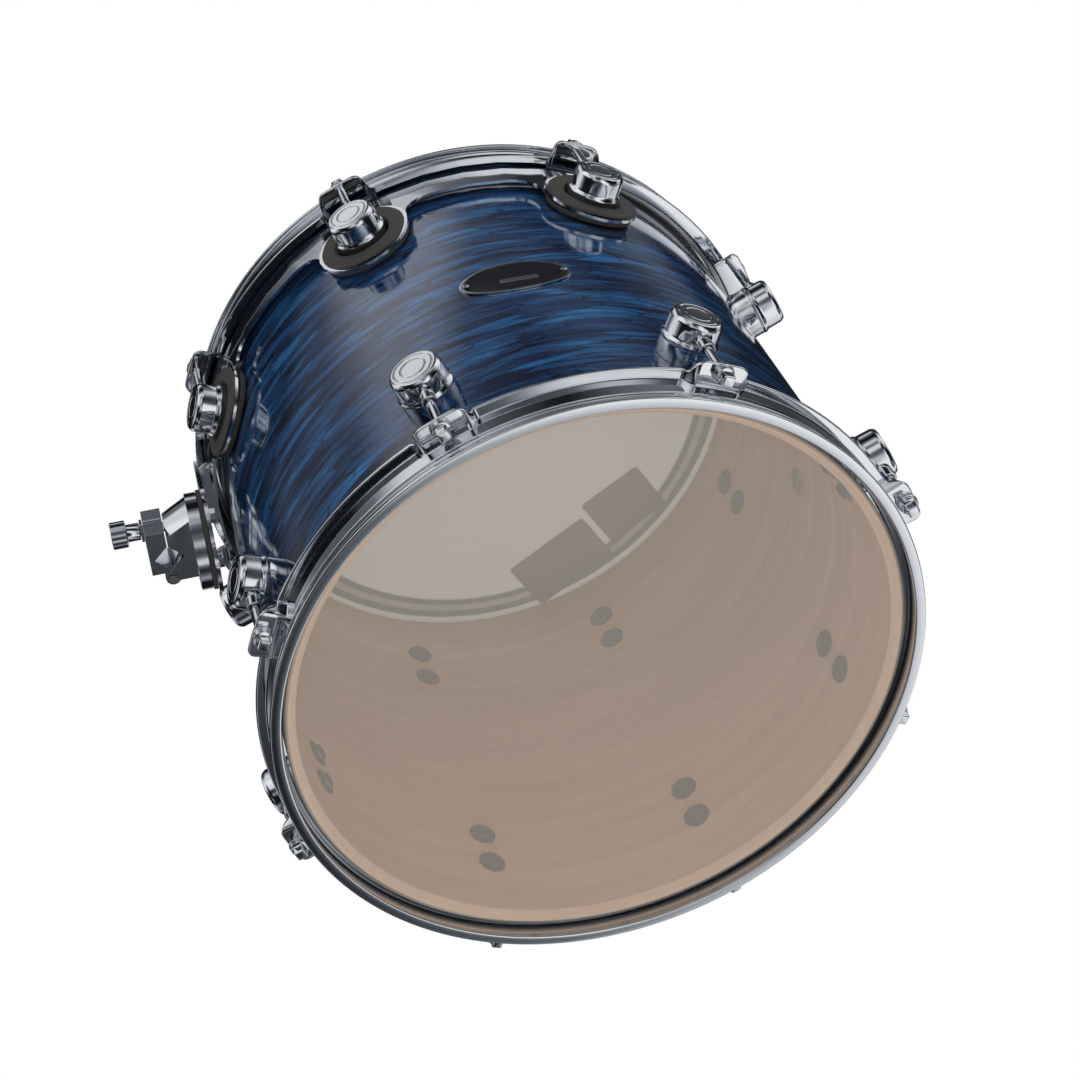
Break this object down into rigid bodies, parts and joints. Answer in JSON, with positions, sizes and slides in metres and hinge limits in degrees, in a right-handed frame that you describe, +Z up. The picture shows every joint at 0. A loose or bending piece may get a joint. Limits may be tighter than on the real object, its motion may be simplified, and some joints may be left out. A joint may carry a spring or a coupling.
{
  "type": "rack tom",
  "caption": "Mounted cylindrical drum with a head, pressed hoop and round lugs at each end, a rubber suspended band and an arm clamp.",
  "frame": {"origin": "centre of the resonant head's outer face, on the drum's axis", "axes": "+Z up the drum's axis from the resonant head to the batter head, +X through the first pair of lugs; the bracket is at 67.5 degrees towards -Y"},
  "size_m": [0.4058, 0.4318, 0.322],
  "materials": {
    "maple": "satin sealed maple ply",
    "blue_wrap": "blue oyster pearl wrap",
    "resonant_film": "clear single ply film",
    "batter_film": "clear two ply film with muffling rings",
    "flesh_ring": "mill aluminium channel",
    "rubber": "moulded matt rubber",
    "badge": "bare dark plate with a bright rim",
    "zinc": "zinc plated steel",
    "chrome": "bright chrome plate"
  },
  "bodies": {
    "shell": {"shell": "maple", "shell_wrap": "blue_wrap", "badge_plate": "badge", "badge_rivet_left": "chrome", "badge_rivet_right": "chrome", "vent_grommet": "chrome", "resonant_film": "resonant_film", "resonant_flesh_hoop": "flesh_ring", "resonant_lug_1": "chrome", "resonant_lug_2": "chrome", "resonant_lug_3": "chrome", "resonant_lug_4": "chrome", "resonant_lug_5": "chrome", "resonant_lug_6": "chrome", "resonant_lug_7": "chrome", "resonant_lug_8": "chrome", "batter_film": "batter_film", "batter_flesh_hoop": "flesh_ring", "batter_lug_1": "chrome", "batter_lug_2": "chrome", "batter_lug_3": "chrome", "batter_lug_4": "chrome", "batter_lug_5": "chrome", "batter_lug_6": "chrome", "batter_lug_7": "chrome", "batter_lug_8": "chrome", "suspension_band": "chrome", "grommet_1": "rubber", "grommet_2": "rubber", "grommet_5": "rubber", "grommet_6": "rubber", "grommet_7": "rubber", "grommet_8": "rubber", "bracket_gasket": "rubber", "bracket_boss": "chrome", "jaw_pin": "zinc"},
    "batter_hoop": {"batter_hoop": "chrome"},
    "batter_rod_1": {"batter_rod_1": "chrome"},
    "batter_rod_2": {"batter_rod_2": "chrome"},
    "batter_rod_3": {"batter_rod_3": "chrome"},
    "batter_rod_4": {"batter_rod_4": "chrome"},
    "batter_rod_5": {"batter_rod_5": "chrome"},
    "batter_rod_6": {"batter_rod_6": "chrome"},
    "batter_rod_7": {"batter_rod_7": "chrome"},
    "batter_rod_8": {"batter_rod_8": "chrome"},
    "resonant_hoop": {"resonant_hoop": "chrome"},
    "resonant_rod_1": {"resonant_rod_1": "chrome"},
    "resonant_rod_2": {"resonant_rod_2": "chrome"},
    "resonant_rod_3": {"resonant_rod_3": "chrome"},
    "resonant_rod_4": {"resonant_rod_4": "chrome"},
    "resonant_rod_5": {"resonant_rod_5": "chrome"},
    "resonant_rod_6": {"resonant_rod_6": "chrome"},
    "resonant_rod_7": {"resonant_rod_7": "chrome"},
    "resonant_rod_8": {"resonant_rod_8": "chrome"},
    "clamp_washer": {"clamp_washer": "zinc"},
    "clamp_bolt": {"clamp_bolt": "chrome"},
    "clamp_jaw": {"clamp_jaw": "chrome"}
  },
  "joints": [
    {"name": "batter_hoop_slide", "type": "slide", "parent": "shell", "child": "batter_hoop", "axis": [0, 0, 1], "range_m": [0, 0.008]},
    {"name": "batter_rod_1_turn", "type": "hinge", "parent": "batter_hoop", "child": "batter_rod_1", "pos_m": [0.1945, 0, 0.2963], "axis": [0, 0, 1], "range_deg": [0, 2730]},
    {"name": "batter_rod_2_turn", "type": "hinge", "parent": "batter_hoop", "child": "batter_rod_2", "pos_m": [0.13753, 0.13753, 0.2963], "axis": [0, 0, 1], "range_deg": [0, 2730]},
    {"name": "batter_rod_3_turn", "type": "hinge", "parent": "batter_hoop", "child": "batter_rod_3", "pos_m": [0, 0.1945, 0.2963], "axis": [0, 0, 1], "range_deg": [0, 2730]},
    {"name": "batter_rod_4_turn", "type": "hinge", "parent": "batter_hoop", "child": "batter_rod_4", "pos_m": [-0.13753, 0.13753, 0.2963], "axis": [0, 0, 1], "range_deg": [0, 2730]},
    {"name": "batter_rod_5_turn", "type": "hinge", "parent": "batter_hoop", "child": "batter_rod_5", "pos_m": [-0.1945, 0, 0.2963], "axis": [0, 0, 1], "range_deg": [0, 2730]},
    {"name": "batter_rod_6_turn", "type": "hinge", "parent": "batter_hoop", "child": "batter_rod_6", "pos_m": [-0.13753, -0.13753, 0.2963], "axis": [0, 0, 1], "range_deg": [0, 2730]},
    {"name": "batter_rod_7_turn", "type": "hinge", "parent": "batter_hoop", "child": "batter_rod_7", "pos_m": [0, -0.1945, 0.2963], "axis": [0, 0, 1], "range_deg": [0, 2730]},
    {"name": "batter_rod_8_turn", "type": "hinge", "parent": "batter_hoop", "child": "batter_rod_8", "pos_m": [0.13753, -0.13753, 0.2963], "axis": [0, 0, 1], "range_deg": [0, 2730]},
    {"name": "resonant_hoop_slide", "type": "slide", "parent": "shell", "child": "resonant_hoop", "axis": [0, 0, -1], "range_m": [0, 0.008]},
    {"name": "resonant_rod_1_turn", "type": "hinge", "parent": "resonant_hoop", "child": "resonant_rod_1", "pos_m": [0.1945, 0, 0.0097], "axis": [0, 0, -1], "range_deg": [0, 2730]},
    {"name": "resonant_rod_2_turn", "type": "hinge", "parent": "resonant_hoop", "child": "resonant_rod_2", "pos_m": [0.13753, 0.13753, 0.0097], "axis": [0, 0, -1], "range_deg": [0, 2730]},
    {"name": "resonant_rod_3_turn", "type": "hinge", "parent": "resonant_hoop", "child": "resonant_rod_3", "pos_m": [0, 0.1945, 0.0097], "axis": [0, 0, -1], "range_deg": [0, 2730]},
    {"name": "resonant_rod_4_turn", "type": "hinge", "parent": "resonant_hoop", "child": "resonant_rod_4", "pos_m": [-0.13753, 0.13753, 0.0097], "axis": [0, 0, -1], "range_deg": [0, 2730]},
    {"name": "resonant_rod_5_turn", "type": "hinge", "parent": "resonant_hoop", "child": "resonant_rod_5", "pos_m": [-0.1945, 0, 0.0097], "axis": [0, 0, -1], "range_deg": [0, 2730]},
    {"name": "resonant_rod_6_turn", "type": "hinge", "parent": "resonant_hoop", "child": "resonant_rod_6", "pos_m": [-0.13753, -0.13753, 0.0097], "axis": [0, 0, -1], "range_deg": [0, 2730]},
    {"name": "resonant_rod_7_turn", "type": "hinge", "parent": "resonant_hoop", "child": "resonant_rod_7", "pos_m": [0, -0.1945, 0.0097], "axis": [0, 0, -1], "range_deg": [0, 2730]},
    {"name": "resonant_rod_8_turn", "type": "hinge", "parent": "resonant_hoop", "child": "resonant_rod_8", "pos_m": [0.13753, -0.13753, 0.0097], "axis": [0, 0, -1], "range_deg": [0, 2730]},
    {"name": "clamp_washer_slide", "type": "slide", "parent": "shell", "child": "clamp_washer", "axis": [0.3827, -0.9239, 0], "range_m": [0, 0.005]},
    {"name": "clamp_bolt_turn", "type": "hinge", "parent": "clamp_washer", "child": "clamp_bolt", "pos_m": [0.10253, -0.20702, 0.217], "axis": [0.3827, -0.9239, 0], "range_deg": [0, 1810]},
    {"name": "clamp_jaw_swing", "type": "hinge", "parent": "shell", "child": "clamp_jaw", "pos_m": [0.07033, -0.20769, 0.217], "axis": [0, 0, -1], "range_deg": [0, 7.6]}
  ],
  "couplings": [
    {"joint": "batter_rod_1_turn", "follows": "batter_hoop_slide", "rad_per_m": 5936.9},
    {"joint": "batter_rod_2_turn", "follows": "batter_hoop_slide", "rad_per_m": 5936.9},
    {"joint": "batter_rod_3_turn", "follows": "batter_hoop_slide", "rad_per_m": 5936.9},
    {"joint": "batter_rod_4_turn", "follows": "batter_hoop_slide", "rad_per_m": 5936.9},
    {"joint": "batter_rod_5_turn", "follows": "batter_hoop_slide", "rad_per_m": 5936.9},
    {"joint": "batter_rod_6_turn", "follows": "batter_hoop_slide", "rad_per_m": 5936.9},
    {"joint": "batter_rod_7_turn", "follows": "batter_hoop_slide", "rad_per_m": 5936.9},
    {"joint": "batter_rod_8_turn", "follows": "batter_hoop_slide", "rad_per_m": 5936.9},
    {"joint": "resonant_rod_1_turn", "follows": "resonant_hoop_slide", "rad_per_m": 5936.9},
    {"joint": "resonant_rod_2_turn", "follows": "resonant_hoop_slide", "rad_per_m": 5936.9},
    {"joint": "resonant_rod_3_turn", "follows": "resonant_hoop_slide", "rad_per_m": 5936.9},
    {"joint": "resonant_rod_4_turn", "follows": "resonant_hoop_slide", "rad_per_m": 5936.9},
    {"joint": "resonant_rod_5_turn", "follows": "resonant_hoop_slide", "rad_per_m": 5936.9},
    {"joint": "resonant_rod_6_turn", "follows": "resonant_hoop_slide", "rad_per_m": 5936.9},
    {"joint": "resonant_rod_7_turn", "follows": "resonant_hoop_slide", "rad_per_m": 5936.9},
    {"joint": "resonant_rod_8_turn", "follows": "resonant_hoop_slide", "rad_per_m": 5936.9},
    {"joint": "clamp_bolt_turn", "follows": "clamp_washer_slide", "rad_per_m": 6283.2},
    {"joint": "clamp_jaw_swing", "follows": "clamp_washer_slide", "rad_per_m": 26.18}
  ]
}
